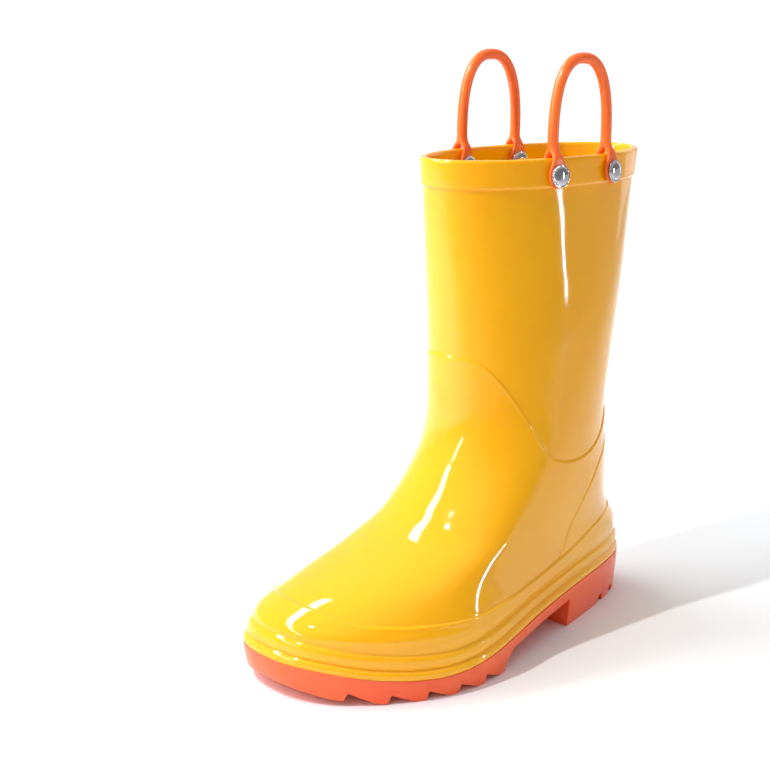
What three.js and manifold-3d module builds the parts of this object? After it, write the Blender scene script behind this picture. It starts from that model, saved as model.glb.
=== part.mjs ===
// Child's rain boot, left foot: moulded PVC upper, lugged outsole, knit lining, footbed and two pull
// handles riveted through the collar. Millimetres, +Z up, toe towards -Y, outer side of the foot at +X.
import * as THREE from 'three';
import { mergeVertices } from 'three/addons/utils/BufferGeometryUtils.js';
import { ParametricGeometry } from 'three/addons/geometries/ParametricGeometry.js';
import Module from 'manifold-3d';

const wasm = await Module();
wasm.setup();

// Foot and shaft
const rimHeight = 210;          // collar edge above the ground
const footLength = 199;         // upper, toe to heel, just above the outsole
const footWidth = 76;           // upper across the ball, before the outer bulge
const outerBulge = 5.5;         // little-toe bulge on the outer side
const toeSwing = 9.5;           // how far the toe tip swings to the inner side
const heelPinch = 0.32;         // share by which the outer side narrows from ball to heel
const innerPinch = 0.1;         // the same on the inner side, which runs straighter
const heelBack = 96.8;           // back of the heel
const ankleHeight = 98;
const ankleIn = 17.5;           // back of the ankle ahead of the back of the heel
const instep = -12.7;           // front of the ankle
const innerSquare = 0.9;        // extra squareness of the heel on its inner side
const outerSquare = -0.2;       // and on its outer side, which is rounder
const collarLength = 122;       // collar front to back
const collarWidth = 57.5;       // collar side to side
const collarMiddle = 45.3;      // middle of the collar, front to back
const collarLean = 8.5;         // how far the collar sits towards the inner side of the foot
const wall = 2.4;
const bandHeight = 12;          // thicker band at the collar
const bandProud = 0.8;
const weltProud = 2;            // bead round the foot above the outsole
const weltHeight = 4.5;

// Inside, from the bottom up
const bottomThickness = 3;      // PVC under the lining
const felt = 1.5;               // sole piece of the lining
const foam = 4;                 // footbed
const coverCloth = 0.8;
const knit = 1;                 // lining of the shaft and foot
const fitGap = 0.3;             // between pieces that touch

// Outsole
const soleProud = 3;            // outsole edge beyond the upper
const lugCount = 6;
const lugPitch = 14.5;
const lugFlat = 4;
const lugDepth = 3.8;
const firstLug = -17.2;           // rear edge of the lug nearest the waist
const waistThickness = 5;
const heelBreast = 37.8;          // front face of the heel block
const heelSlot = 3.5;           // width and depth of the two slots across the heel
const toeSpring = 5.5;

// Handles and rivets
const cordDiameter = 4.8;
const handleRise = 40.6;        // middle of the cord above the collar edge, at the top of the loop
const archPower = 2.5;          // squareness of the loop: 2 is an ellipse
const rivetSpacing = 34.4;
const rivetDrop = 7.6;          // rivet centre below the collar edge
const capDiameter = 9.6;
const capHeight = 1.7;
const capRim = 0.6;
const shankDiameter = 3.6;
const boreDiameter = 2.4;
const pinDiameter = 1.8;
const prongThickness = 1.8;
const prongMargin = 0.6;        // prong edge beyond the rivet cap
const prongGap = 0.6;           // each side of the collar
const neckDiameter = 5.4;
const neckRise = 4.6;           // solid neck of the fork above the collar edge

const standX = -1.93;           // puts the middle of the boot's box over the origin
const toeTip = heelBack - footLength;
const collarFront = collarMiddle - collarLength / 2;
const collarBack = collarMiddle + collarLength / 2;
const collarShare = collarWidth / footWidth;
const wide = 200;               // more than any width of the boot

// Horizontal sections, from the ground up: height, front, back, widest line, share of the foot width,
// power of the superellipse, sideways middle
const sections = [
  [0, toeTip, heelBack, -42, 1, 2.4, 0],
  [22, toeTip - 1.5, heelBack - 0.5, -38, 1, 2.38, 0],
  [30, toeTip + 2, heelBack - 1, -32, 0.99, 2.33, 0],
  [38, toeTip + 17, heelBack - 3.5, -25, 0.945, 2.28, 0],
  [46, toeTip + 42, heelBack - 9, -18, 0.915, 2.24, 0],
  [54, toeTip + 63, heelBack - 12, -8, 0.895, 2.19, 0],
  [64, instep - 15.5, heelBack - 14, 3, 0.875, 2.15, -0.02 * collarLean],
  [78, instep - 6.2, heelBack - 15.6, 17, 0.85, 2.1, -0.1 * collarLean],
  [88, instep - 2, heelBack - 17, 25, 0.835, 2.1, -0.15 * collarLean],
  [ankleHeight, instep, heelBack - ankleIn, 31, 0.828, 2.1, -0.22 * collarLean],
  [122, instep, heelBack - 13.5, 39, 0.828, 2.1, -0.38 * collarLean],
  [0.73 * rimHeight, instep - 0.5, heelBack - 5, 43, 0.825, 2.1, -0.62 * collarLean],
  [rimHeight - 17, collarFront + 1, collarBack - 4, collarMiddle, collarShare + 0.018, 2.1,
    -0.93 * collarLean],
  [rimHeight, collarFront, collarBack, collarMiddle, collarShare, 2.1, -collarLean],
  [rimHeight + 20, collarFront - 1, collarBack + 5, collarMiddle, collarShare, 2.1, -1.05 * collarLean],
];

// Side view of the line between upper and outsole: place, height
const soleLine = [
  [toeTip - 20, 18], [toeTip, 16], [-78, 11], [-52, 9], [-22, 12.5], [10, 16.5], [40, 19], [66, 19.6],
  [heelBack + 20, 19.6],
];

const sectionCurve = curveThrough(sections);
const soleCurve = curveThrough(soleLine);

function curveThrough(rows) {
  const values = rows.flatMap((row) => row.slice(1));
  return new THREE.CubicInterpolant(rows.map((row) => row[0]), values, rows[0].length - 1);
}

const soleHeight = (y) => soleCurve.evaluate(y)[0];

// A point of the bare upper at a height, angle 0 at the outer side and a quarter turn at the heel
function skinPoint(height, angle) {
  const [front, back, widest, share, power, middle] = sectionCurve.evaluate(height);
  const across = Math.cos(angle);
  const along = Math.sin(angle);
  const reach = along > 0 ? back - widest : widest - front;
  const low = 1 - THREE.MathUtils.smoothstep(height, 10, 80);
  const squarer = (across < 0 ? innerSquare : outerSquare) * (along > 0 ? low : 0);
  const bend = 2 / (power + squarer);
  const y = widest + Math.sign(along) * reach * Math.abs(along) ** bend;
  const behind = THREE.MathUtils.smoothstep(y, widest, back);
  const pinch = (across > 0 ? heelPinch : innerPinch) * low * behind;
  const half = (footWidth / 2) * share * (1 - pinch);
  const swing = THREE.MathUtils.clamp((toeTip + 79 - y) / 80, 0, 1.2) ** 2;
  const bulge = outerBulge * Math.exp(-(((y + 39) / 35) ** 2)) * Math.max(across, 0);
  const x = Math.sign(across) * half * Math.abs(across) ** bend;
  return new THREE.Vector3(x + middle + low * (bulge - toeSwing * swing) + standX, y, height);
}

// The same point moved inwards along the surface's normal
function skinAt(height, angle, inset) {
  const round = skinPoint(height, angle + 0.002).sub(skinPoint(height, angle - 0.002));
  const up = skinPoint(height + 0.2, angle).sub(skinPoint(height - 0.2, angle));
  return skinPoint(height, angle).addScaledVector(round.cross(up).normalize(), -inset);
}

// A closed three.js geometry as a manifold solid, turned the right way out
function solidOf(geometry) {
  const bare = geometry.index ? geometry.clone() : mergeVertices(geometry);
  bare.deleteAttribute('normal');
  bare.deleteAttribute('uv');
  const merged = mergeVertices(bare);
  const index = merged.index.array;
  const corners = [];
  for (let i = 0; i < index.length; i += 3) {
    const [a, b, c] = index.subarray(i, i + 3);
    if (a !== b && b !== c && c !== a) corners.push(a, b, c);
  }
  const build = (tris) => new wasm.Manifold(new wasm.Mesh({
    numProp: 3,
    vertProperties: new Float32Array(merged.attributes.position.array),
    triVerts: new Uint32Array(tris),
  }));
  const solid = build(corners);
  return solid.volume() > 0 ? solid : build(corners.reverse());
}

function geometryOf(solid) {
  const mesh = solid.getMesh();
  const geometry = new THREE.BufferGeometry();
  geometry.setAttribute('position', new THREE.BufferAttribute(mesh.vertProperties, 3));
  geometry.setIndex(new THREE.BufferAttribute(mesh.triVerts, 1));
  geometry.computeVertexNormals();
  return geometry;
}

// The whole foot and shaft as one solid, its skin moved in by inset
const footRows = [-4, 20, 27, 33, 38, 43, 48, 54, 62, 72, 84];
const shaftRows = 4;
const loftSides = 40;
const shaftRow = (k) => ankleHeight + ((rimHeight + 6 - ankleHeight) * k) / (shaftRows - 1);
const loftRows = [...footRows, ...Array.from({ length: shaftRows }, (_, k) => shaftRow(k))];

function footSolid(inset) {
  const stacks = loftRows.length + 1;
  const point = (u, v, target) => {
    const row = Math.round(v * stacks);
    const height = loftRows[THREE.MathUtils.clamp(row - 1, 0, loftRows.length - 1)];
    if (row > 0 && row < stacks) target.copy(skinAt(height, 2 * Math.PI * u, inset));
    else target.set(skinPoint(height, Math.PI / 2).x, row ? collarMiddle : 0, height);
  };
  return solidOf(new ParametricGeometry(point, loftSides, stacks));
}

// A side-view outline pushed through the whole width of the boot
function acrossBoot(shape) {
  const geometry = new THREE.ExtrudeGeometry(shape, { depth: wide, bevelEnabled: false });
  geometry.translate(0, 0, -wide / 2);
  const turn = new THREE.Matrix4().makeBasis(
    new THREE.Vector3(0, 1, 0), new THREE.Vector3(0, 0, 1), new THREE.Vector3(1, 0, 0));
  return solidOf(geometry.applyMatrix4(turn));
}

// Points along the sole line, raised by rise, from toe to heel
function soleLinePoints(rise) {
  const points = [];
  for (let y = toeTip - 15; y <= heelBack + 15; y += 7) {
    points.push(new THREE.Vector2(y, soleHeight(y) + rise));
  }
  return points;
}

// Everything between two lines that run parallel to the sole line
function layer(low, high) {
  return acrossBoot(new THREE.Shape([...soleLinePoints(low), ...soleLinePoints(high).reverse()]));
}

// Everything above the sole line raised by low, up to a level
function above(low, level) {
  const points = soleLinePoints(low);
  const ends = [points.at(-1), points[0]].map((point) => new THREE.Vector2(point.x, level));
  return acrossBoot(new THREE.Shape([...points, ...ends]));
}

// Rivet spots: end is -1 at the front and 1 at the rear, side is 1 outside and -1 inside
const collarMid = (wall - bandProud) / 2;
const collarHalf = (wall + bandProud) / 2;
const rivetHeight = rimHeight - rivetDrop;

function rivetPlace(side, end) {
  const y = collarMiddle + (end * rivetSpacing) / 2;
  const [front, back, widest, , power] = sectionCurve.evaluate(rivetHeight);
  const reach = y > widest ? back - widest : widest - front;
  const turn = Math.asin(Math.sign(y - widest) * (Math.abs(y - widest) / reach) ** (power / 2));
  const angle = side > 0 ? turn : Math.PI - turn;
  const out = skinAt(rivetHeight, angle, -1).sub(skinAt(rivetHeight, angle, 1)).normalize();
  const beside = new THREE.Vector3(0, 0, 1).cross(out).normalize();
  const up = out.clone().cross(beside);
  return new THREE.Matrix4().makeBasis(beside, up, out)
    .setPosition(skinAt(rivetHeight, angle, collarMid));
}

// A rod through the rivet spot, along the rivet's own axis
function rivetRod(diameter, length) {
  const rod = new THREE.CylinderGeometry(diameter / 2, diameter / 2, length, 10);
  return rod.rotateX(Math.PI / 2);
}

function makeUpper(places) {
  let solid = footSolid(0).intersect(above(0, rimHeight));
  solid = solid.add(footSolid(-weltProud).intersect(layer(0, weltHeight)));
  const bandSlab = new THREE.BoxGeometry(wide, 2 * wide, bandHeight);
  bandSlab.translate(0, 0, rimHeight - bandHeight / 2);
  solid = solid.add(footSolid(-bandProud).intersect(solidOf(bandSlab)));
  solid = solid.subtract(footSolid(wall).intersect(above(bottomThickness, rimHeight + 5)));
  for (const place of places) {
    const rod = rivetRod(shankDiameter + 2 * fitGap, 6 * collarHalf).applyMatrix4(place);
    solid = solid.subtract(solidOf(rod));
  }
  return solid;
}

// Side view of the outsole: heel block with two slots, waist, saw-tooth lugs and a lifted toe
function makeOutsole() {
  const lift = (y) => toeSpring * THREE.MathUtils.clamp((toeTip + 33 - y) / 36, 0, 1.3) ** 1.7;
  const waistAt = (y) => soleHeight(y) - fitGap - waistThickness;
  const rear = heelBack + 12;
  const under = [new THREE.Vector2(rear, 0)];
  for (const slot of [heelBack - 13, heelBack - 26]) {
    under.push(new THREE.Vector2(slot + heelSlot, 0), new THREE.Vector2(slot + heelSlot, heelSlot));
    under.push(new THREE.Vector2(slot, heelSlot), new THREE.Vector2(slot - heelSlot / 2, 0));
  }
  under.push(new THREE.Vector2(heelBreast, 0), new THREE.Vector2(heelBreast, waistAt(heelBreast)));
  for (const share of [0.7, 0.4, 0.1]) {
    const y = firstLug + share * (heelBreast - firstLug);
    under.push(new THREE.Vector2(y, waistAt(y)));
  }
  for (let k = 0; k < lugCount; k += 1) {
    const y = firstLug - k * lugPitch;
    under.push(new THREE.Vector2(y, lift(y) + lugDepth), new THREE.Vector2(y - 1, lift(y - 1)));
    under.push(new THREE.Vector2(y - 1 - lugFlat, lift(y - 1 - lugFlat)));
  }
  const toe = toeTip - 12;
  under.push(new THREE.Vector2(toe, lift(toe) + 2));
  const shape = new THREE.Shape([...under, ...soleLinePoints(-fitGap).filter((p) => p.x > toe)]);
  return acrossBoot(shape).intersect(footSolid(-soleProud));
}

// Lining and footbed
const feltLow = bottomThickness + fitGap;
const footbedLow = feltLow + felt + fitGap;
const coverLow = footbedLow + foam + fitGap;
const liningInset = wall + fitGap;
const footbedInset = liningInset + knit + fitGap;
const liningTop = rivetHeight - capDiameter / 2 - prongMargin - 1.5;

const makeLining = () => footSolid(liningInset)
  .intersect(above(footbedLow, liningTop))
  .subtract(footSolid(liningInset + knit));
const makeFelt = () => footSolid(liningInset).intersect(layer(feltLow, feltLow + felt));
const makeFoam = () => footSolid(footbedInset).intersect(layer(footbedLow, footbedLow + foam));
const makeCover = () => footSolid(footbedInset).intersect(layer(coverLow, coverLow + coverCloth));

// Forked end of a handle, in the rivet's frame: x along the collar, y up, z out through the collar
const forkHalf = collarHalf + prongGap + prongThickness;

function makeFork() {
  const round = capDiameter / 2 + prongMargin;
  const top = rivetDrop + neckRise;
  const neck = neckDiameter / 2;
  const front = new THREE.Shape();
  front.moveTo(neck, top);
  front.lineTo(neck, rivetDrop + 1);
  front.absarc(0, 0, round, 0.35, Math.PI - 0.35, true);
  front.lineTo(-neck, rivetDrop + 1);
  front.lineTo(-neck, top);
  const plate = new THREE.ExtrudeGeometry(front,
    { depth: 2 * forkHalf, bevelEnabled: false, curveSegments: 8 });
  plate.translate(0, 0, -forkHalf);

  const slot = collarHalf + prongGap;
  const side = new THREE.Shape();
  side.moveTo(forkHalf, -round - 1);
  side.lineTo(forkHalf, rivetDrop);
  side.lineTo(neck, rivetDrop + neckRise - 1);
  side.lineTo(neck, top);
  side.lineTo(-neck, top);
  side.lineTo(-neck, rivetDrop + neckRise - 1);
  side.lineTo(-forkHalf, rivetDrop);
  side.lineTo(-forkHalf, -round - 1);
  side.lineTo(-slot, -round - 1);
  side.lineTo(-slot, rivetDrop + prongGap);
  side.lineTo(0, rivetDrop + prongGap + 1.8);
  side.lineTo(slot, rivetDrop + prongGap);
  side.lineTo(slot, -round - 1);
  const clip = new THREE.ExtrudeGeometry(side, { depth: 4 * round, bevelEnabled: false });
  clip.translate(0, 0, -2 * round).rotateY(-Math.PI / 2);
  const hole = rivetRod(shankDiameter + 2 * fitGap, 4 * forkHalf);
  return solidOf(plate).intersect(solidOf(clip)).subtract(solidOf(hole));
}

// Rivet halves as turned profiles, from the tip to the dome: radius, place along the axis
function domeProfile(diameter) {
  const dome = new THREE.EllipseCurve(0, capRim, diameter / 2, capHeight - capRim, 0, Math.PI / 2);
  return [new THREE.Vector2(diameter / 2, 0), ...dome.getPoints(3)];
}

function makeCap() {
  const deep = -2 * forkHalf;
  const profile = [
    new THREE.Vector2(0, -0.5), new THREE.Vector2(boreDiameter / 2, -0.5),
    new THREE.Vector2(boreDiameter / 2, deep), new THREE.Vector2(shankDiameter / 2, deep),
    new THREE.Vector2(shankDiameter / 2, 0), ...domeProfile(capDiameter),
  ];
  return solidOf(new THREE.LatheGeometry(profile, 12).rotateX(Math.PI / 2));
}

function makePost() {
  const profile = [
    new THREE.Vector2(0, -5), new THREE.Vector2(pinDiameter / 2, -5),
    new THREE.Vector2(pinDiameter / 2, 0), ...domeProfile(capDiameter),
  ];
  return solidOf(new THREE.LatheGeometry(profile, 12).rotateX(-Math.PI / 2));
}

// Loop of a handle, standing on the hinge line between its two necks
class HandleArch extends THREE.Curve {
  getPoint(share) {
    const angle = Math.PI * THREE.MathUtils.clamp(share, 0, 1);
    const across = Math.cos(angle);
    const y = (-rivetSpacing / 2) * Math.sign(across) * Math.abs(across) ** (2 / archPower);
    return new THREE.Vector3(0, y, loopRise * Math.abs(Math.sin(angle)) ** (2 / archPower));
  }
}
const hingeRise = neckRise + fitGap + cordDiameter / 2;
const loopRise = handleRise - hingeRise;

function makeLoop() {
  const section = new THREE.Shape().absarc(0, 0, cordDiameter / 2, 0, 2 * Math.PI);
  const tube = new THREE.ExtrudeGeometry(section,
    { steps: 26, curveSegments: 4, extrudePath: new HandleArch() });
  let solid = solidOf(tube);
  for (const end of [-1, 1]) {
    const ball = new THREE.SphereGeometry(cordDiameter / 2, 8, 6).rotateX(Math.PI / 2);
    solid = solid.add(solidOf(ball.translate(0, (end * rivetSpacing) / 2, 0)));
  }
  return solid;
}

// Finishes
const finish = (color, roughness, metalness = 0) => new THREE.MeshStandardMaterial(
  { color, roughness, metalness, flatShading: true });
const yellowPvc = finish(0xffc21a, 0.18);
const orangePvc = finish(0xff6a3a, 0.28);
const chrome = finish(0xd8d8dc, 0.12, 1);
const knitCotton = finish(0xf1e9d8, 0.9);
const greyFelt = finish(0xb9b4aa, 0.95);
const foamFinish = finish(0xe9e4d6, 0.8);
const coverFinish = finish(0xd9d2c2, 0.9);

const boot = new THREE.Group();

function addPart(name, geometry, material, parent = boot) {
  const mesh = new THREE.Mesh(geometry, material);
  mesh.name = name;
  parent.add(mesh);
}

const sides = { lateral: 1, medial: -1 };
const ends = { front: -1, rear: 1 };
const places = Object.values(sides).flatMap((side) => (
  Object.values(ends).map((end) => rivetPlace(side, end))));

addPart('upper', geometryOf(makeUpper(places)), yellowPvc);
addPart('outsole', geometryOf(makeOutsole()), orangePvc);
addPart('lining', geometryOf(makeLining()), knitCotton);
addPart('lining_sole', geometryOf(makeFelt()), greyFelt);
addPart('insole_foam', geometryOf(makeFoam()), foamFinish);
addPart('insole_cover', geometryOf(makeCover()), coverFinish);

const forkShape = geometryOf(makeFork());
const capShape = geometryOf(makeCap());
const postShape = geometryOf(makePost());
const loopShape = geometryOf(makeLoop());
for (const [sideName, side] of Object.entries(sides)) {
  const hinge = new THREE.Vector3();
  for (const [endName, end] of Object.entries(ends)) {
    const spot = new THREE.Group();
    const place = rivetPlace(side, end);
    place.decompose(spot.position, spot.quaternion, spot.scale);
    hinge.addScaledVector(new THREE.Vector3(0, rivetDrop + hingeRise, 0).applyMatrix4(place), 0.5);
    boot.add(spot);
    addPart(`handle_${sideName}_fork_${endName}`, forkShape, orangePvc, spot);
    addPart(`rivet_${sideName}_${endName}_cap`, capShape, chrome, spot);
    addPart(`rivet_${sideName}_${endName}_post`, postShape, chrome, spot);
    spot.children.at(-2).position.z = forkHalf + fitGap;
    spot.children.at(-1).position.z = -forkHalf - fitGap;
  }
  addPart(`handle_${sideName}_loop`, loopShape, orangePvc);
  boot.children.at(-1).position.copy(hinge);
}

export default boot;
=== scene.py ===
import math

import bmesh
import bpy
import numpy as np
from mathutils import Matrix, Vector


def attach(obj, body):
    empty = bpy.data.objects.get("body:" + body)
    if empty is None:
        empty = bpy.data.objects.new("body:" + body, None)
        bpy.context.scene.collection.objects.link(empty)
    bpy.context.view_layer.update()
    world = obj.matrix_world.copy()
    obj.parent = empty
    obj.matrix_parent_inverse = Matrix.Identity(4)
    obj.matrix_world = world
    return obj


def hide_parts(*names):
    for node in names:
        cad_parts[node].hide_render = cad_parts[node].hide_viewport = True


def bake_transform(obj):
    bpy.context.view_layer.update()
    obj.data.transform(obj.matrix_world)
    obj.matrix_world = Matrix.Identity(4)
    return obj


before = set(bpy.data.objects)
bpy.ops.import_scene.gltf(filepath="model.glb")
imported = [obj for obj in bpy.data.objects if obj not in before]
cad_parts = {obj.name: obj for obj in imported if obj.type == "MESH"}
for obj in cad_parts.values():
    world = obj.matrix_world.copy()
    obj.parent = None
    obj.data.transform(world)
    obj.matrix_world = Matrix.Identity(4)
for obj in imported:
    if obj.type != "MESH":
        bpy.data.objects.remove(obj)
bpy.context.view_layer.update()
print("frame loaded")

mm = 0.001

# camera: where it stands round the boot, what it looks at, and its lens
view = {
    "azimuth": 47.43,
    "elevation": 14.14,
    "distance": 619.7,             # mm from the point looked at
    "target": (-5.5, -45.9, 119.9),  # mm
    "roll": 0.57,
    "lens": 70.55,                 # on a 36 mm sensor
}


def axesOf(azimuth, elevation, roll=0):
    # right, up and back of a camera at an azimuth and an elevation
    turn, lift, tilt = (math.radians(value) for value in (azimuth, elevation, roll))
    out = math.cos(lift)
    back = Vector((math.sin(turn) * out, -math.cos(turn) * out, math.sin(lift)))
    level = Vector((math.cos(turn), math.sin(turn), 0))
    over = back.cross(level)
    right = level * math.cos(tilt) + over * math.sin(tilt)
    return right, back.cross(right), back


def makeCamera():
    data = bpy.data.cameras.new("camera")
    data.lens, data.sensor_width = view["lens"], 36
    data.clip_start, data.clip_end = 0.05, 20
    camera = bpy.data.objects.new("camera", data)
    bpy.context.collection.objects.link(camera)
    right, up, back = axesOf(view["azimuth"], view["elevation"], view["roll"])
    place = (Vector(view["target"]) + back * view["distance"]) * mm
    facing = Matrix((right, up, back)).transposed().to_4x4()
    camera.matrix_world = Matrix.Translation(place) @ facing
    bpy.context.scene.camera = camera


makeCamera()
print("camera set")

# the last the boot is moulded on, in mm
last = {
    "rimHeight": 210,
    "footWidth": 76,
    "outerBulge": 5.5,      # little-toe bulge
    "toeSwing": 9.5,        # how far the toe tip swings inwards
    "heelPinch": 0.32,      # narrowing from ball to heel, outer side
    "innerPinch": 0.1,
    "heelBack": 96.8,
    "toeTip": -102.2,
    "instep": -12.7,
    "innerSquare": 0.9,
    "outerSquare": -0.2,
    "collarMiddle": 45.3,
    "collarLength": 122,
    "collarWidth": 57.5,
    "collarLean": 8.5,
    "standX": -1.93,
}
toe, heel, shin = last["toeTip"], last["heelBack"], last["instep"]
middle, lean = last["collarMiddle"], last["collarLean"]
collarFront = middle - last["collarLength"] / 2
collarBack = middle + last["collarLength"] / 2
collarShare = last["collarWidth"] / last["footWidth"]
rim = last["rimHeight"]

# height, front, back, widest line, share of the width, superellipse power, sideways middle
sections = [
    (0, toe, heel, -42, 1, 2.4, 0),
    (22, toe - 1.5, heel - 0.5, -38, 1, 2.38, 0),
    (30, toe + 2, heel - 1, -32, 0.99, 2.33, 0),
    (38, toe + 17, heel - 3.5, -25, 0.945, 2.28, 0),
    (46, toe + 42, heel - 9, -18, 0.915, 2.24, 0),
    (54, toe + 63, heel - 12, -8, 0.895, 2.19, 0),
    (64, shin - 15.5, heel - 14, 3, 0.875, 2.15, -0.02 * lean),
    (78, shin - 6.2, heel - 15.6, 17, 0.85, 2.1, -0.1 * lean),
    (88, shin - 2, heel - 17, 25, 0.835, 2.1, -0.15 * lean),
    (98, shin, heel - 17.5, 31, 0.828, 2.1, -0.22 * lean),
    (122, shin, heel - 13.5, 39, 0.828, 2.1, -0.38 * lean),
    (0.73 * rim, shin - 0.5, heel - 5, 43, 0.825, 2.1, -0.62 * lean),
    (rim - 17, collarFront + 1, collarBack - 4, middle, collarShare + 0.018, 2.1, -0.93 * lean),
    (rim, collarFront, collarBack, middle, collarShare, 2.1, -lean),
    (rim + 20, collarFront - 1, collarBack + 5, middle, collarShare, 2.1, -1.05 * lean),
]
# the line between upper and outsole, seen from the side
soleLine = [
    (toe - 20, 18), (toe, 16), (-78, 11), (-52, 9), (-22, 12.5), (10, 16.5), (40, 19), (66, 19.6),
    (heel + 20, 19.6),
]


def curveThrough(rows):
    # smooth curve through rows of (place, value, value...), its slope the mean of its neighbours'
    rows = np.array(rows, float)
    at, values = rows[:, 0], rows[:, 1:]
    steps = np.diff(values, axis=0) / np.diff(at)[:, None]
    slopes = np.vstack([steps[:1], (steps[1:] + steps[:-1]) / 2, steps[-1:]])

    def valueAt(place):
        place = np.clip(np.asarray(place, float), at[0], at[-1])
        k = np.clip(np.searchsorted(at, place, side="right") - 1, 0, len(at) - 2)
        gap = (at[k + 1] - at[k])[..., None]
        p = (place - at[k])[..., None] / gap
        found = (values[k] * (1 + 2 * p) * (1 - p) ** 2 + slopes[k] * gap * p * (1 - p) ** 2
                 + values[k + 1] * p ** 2 * (3 - 2 * p) + slopes[k + 1] * gap * p ** 2 * (p - 1))
        return found if found.shape[-1] > 1 else found[..., 0]

    return valueAt


sectionAt = curveThrough(sections)
soleAt = curveThrough(soleLine)
heart = np.array([-6.0, -2.0])   # middle of the sole


def ease(value, low, high):
    t = np.clip((value - low) / (high - low), 0, 1)
    return t * t * (3 - 2 * t)


def skin(height, angle):
    # a point of the bare upper; angle 0 is the outer side, a quarter turn the heel
    height, angle = np.broadcast_arrays(np.asarray(height, float), np.asarray(angle, float))
    front, back, widest, share, power, sideways = np.moveaxis(sectionAt(height), -1, 0)
    across, along = np.cos(angle), np.sin(angle)
    reach = np.where(along > 0, back - widest, widest - front)
    low = 1 - ease(height, 10, 80)
    squarer = np.where(across < 0, last["innerSquare"], last["outerSquare"])
    squarer = squarer * np.where(along > 0, low, 0)
    bend = 2 / (power + squarer)
    y = widest + np.sign(along) * reach * np.abs(along) ** bend
    pinch = np.where(across > 0, last["heelPinch"], last["innerPinch"])
    pinch = pinch * low * ease(y, widest, back)
    half = last["footWidth"] / 2 * share * (1 - pinch)
    swing = last["toeSwing"] * np.clip((toe + 79 - y) / 80, 0, 1.2) ** 2
    bulge = last["outerBulge"] * np.exp(-((y + 39) / 35) ** 2) * np.maximum(across, 0)
    x = np.sign(across) * half * np.abs(across) ** bend
    x = x + sideways + low * (bulge - swing) + last["standX"]
    return np.stack([x, y, height], -1)


def skinOut(height, angle, out):
    # the same point moved outwards along the surface's normal
    around = skin(height, angle + 0.002) - skin(height, angle - 0.002)
    up = skin(height + 0.2, angle) - skin(height - 0.2, angle)
    normal = np.cross(around, up)
    normal /= np.linalg.norm(normal, axis=-1, keepdims=True)
    return skin(height, angle) + normal * np.asarray(out, float)[..., None]


def spreadAngles(count, weight=None):
    # angles that space the columns of the mesh evenly round foot and shaft
    fine = np.linspace(0, 2 * math.pi, 2881)
    density = np.zeros(2880)
    for height in (24, 45, 75, 150):
        steps = np.linalg.norm(np.diff(skin(float(height), fine), axis=0), axis=1)
        density += steps / steps.sum()
    if weight is not None:
        density *= weight((fine[1:] + fine[:-1]) / 2)
    total = np.concatenate([[0], np.cumsum(density)])
    return np.interp(np.linspace(0, total[-1], count + 1), total, fine)


def link(name, mesh):
    piece = bpy.data.objects.new(name, mesh)
    bpy.context.collection.objects.link(piece)
    return piece


def finishMesh(bm, name, sharp=None):
    # smooth shading, with edges sharper than an angle left crisp
    for face in bm.faces:
        face.smooth = True
    if sharp is not None:
        for edge in bm.edges:
            edge.smooth = len(edge.link_faces) < 2 or edge.calc_face_angle(0) < math.radians(sharp)
    mesh = bpy.data.meshes.new(name)
    bm.to_mesh(mesh)
    bm.free()
    return link(name, mesh)


def rolledGrid(name, points, sharp=None):
    # a grid rolled up into a tube: rows of rings in mm, the seam and the poles merged
    rows, columns = points.shape[0], points.shape[1]
    bm = bmesh.new()
    bmesh.ops.create_grid(bm, x_segments=columns - 1, y_segments=rows - 1, size=1)
    bm.verts.ensure_lookup_table()
    uv = bm.loops.layers.uv.new("surface")
    stepsUp = np.linalg.norm(np.diff(points, axis=0), axis=2).mean(axis=1)
    climb = np.concatenate([[0], np.cumsum(stepsUp)]) * mm
    around = np.linalg.norm(np.diff(points, axis=1), axis=2).sum(axis=1).max() * mm
    for face in bm.faces:
        for loop in face.loops:
            row, column = divmod(loop.vert.index, columns)
            loop[uv].uv = (around * column / (columns - 1), climb[row])
    for vert, place in zip(bm.verts, points.reshape(-1, 3) * mm):
        vert.co = place
    bmesh.ops.remove_doubles(bm, verts=bm.verts, dist=1e-6)
    bmesh.ops.recalc_face_normals(bm, faces=bm.faces)
    return finishMesh(bm, name, sharp)


def applyModifiers(piece):
    # bakes the modifiers into the mesh
    shown = piece.evaluated_get(bpy.context.evaluated_depsgraph_get())
    mesh = bpy.data.meshes.new_from_object(shown)
    old = piece.data
    piece.modifiers.clear()
    piece.data = mesh
    bpy.data.meshes.remove(old)


def linear(text):
    # sRGB hex to linear RGBA
    values = [int(text[k:k + 2], 16) / 255 for k in (0, 2, 4)]
    return [v / 12.92 if v <= 0.04045 else ((v + 0.055) / 1.055) ** 2.4 for v in values] + [1]


def addNode(tree, kind, inputs=None, settings=None):
    # inputs are numbers, colours or another node's output
    made = tree.nodes.new(kind)
    for key, value in (settings or {}).items():
        setattr(made, key, value)
    for key, value in (inputs or {}).items():
        if isinstance(value, bpy.types.NodeSocket):
            tree.links.new(value, made.inputs[key])
        else:
            made.inputs[key].default_value = value
    return made


def per(size):
    # texture scale for a pattern that repeats every so many mm
    return 1000 / size


def twoTone(tree, share, first, second, low=0, high=1):
    # one colour below low, the other above high
    tone = addNode(tree, "ShaderNodeValToRGB", {"Fac": share})
    for stop, place, colour in zip(tone.color_ramp.elements, (low, high), (first, second)):
        stop.position, stop.color = place, linear(colour)
    return tone


def newMaterial(name):
    material = bpy.data.materials.new(name)
    material.use_nodes = True
    material.node_tree.nodes.clear()
    return material, material.node_tree


def shade(tree, inputs):
    shader = addNode(tree, "ShaderNodeBsdfPrincipled", inputs)
    addNode(tree, "ShaderNodeOutputMaterial", {"Surface": shader.outputs[0]})


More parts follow.
